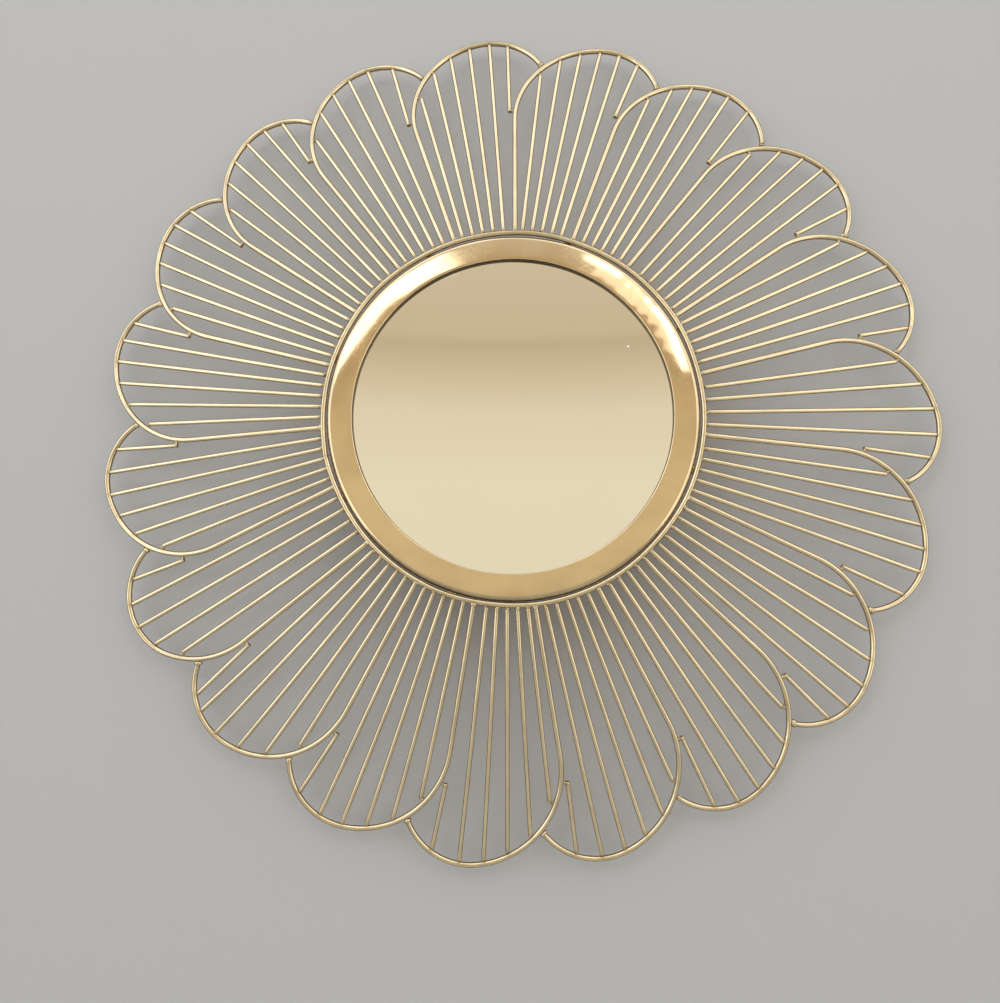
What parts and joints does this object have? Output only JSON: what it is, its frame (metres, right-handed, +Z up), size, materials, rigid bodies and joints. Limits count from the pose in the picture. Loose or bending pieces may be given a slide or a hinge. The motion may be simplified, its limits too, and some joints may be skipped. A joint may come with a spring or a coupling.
{
  "type": "wall mirror",
  "caption": "Round wall mirror in a polished pressed brass frame, ringed by overlapping petals of bent and welded brass wire with fine radial ribs.",
  "frame": {"origin": "centre of the back, on the wall plane", "axes": "+Z up as it hangs, +Y into the wall, the glass faces -Y, +X to the right as seen from the front"},
  "size_m": [0.6045, 0.0386, 0.6119],
  "materials": {
    "polished_brass": "pressed sheet brass, hand polished, fine hairline scratches, slightly browned at the shoulder",
    "brass_wire": "drawn brass wire, satin polish, browner at the welds",
    "mirror_glass": "silvered float glass with a few specks",
    "back_board": "dark painted fibreboard, matt"
  },
  "bodies": {
    "root": {"mirror_frame": "polished_brass", "mirror_glass": "mirror_glass", "back_board": "back_board", "ring_wire": "brass_wire", "petal_01": "brass_wire", "petal_02": "brass_wire", "petal_03": "brass_wire", "petal_04": "brass_wire", "petal_05": "brass_wire", "petal_06": "brass_wire", "petal_07": "brass_wire", "petal_08": "brass_wire", "petal_09": "brass_wire", "petal_10": "brass_wire", "petal_11": "brass_wire", "petal_12": "brass_wire", "petal_13": "brass_wire", "petal_14": "brass_wire", "petal_15": "brass_wire", "petal_16": "brass_wire", "petal_17": "brass_wire", "petal_18": "brass_wire", "petal_19": "brass_wire"}
  },
  "joints": []
}
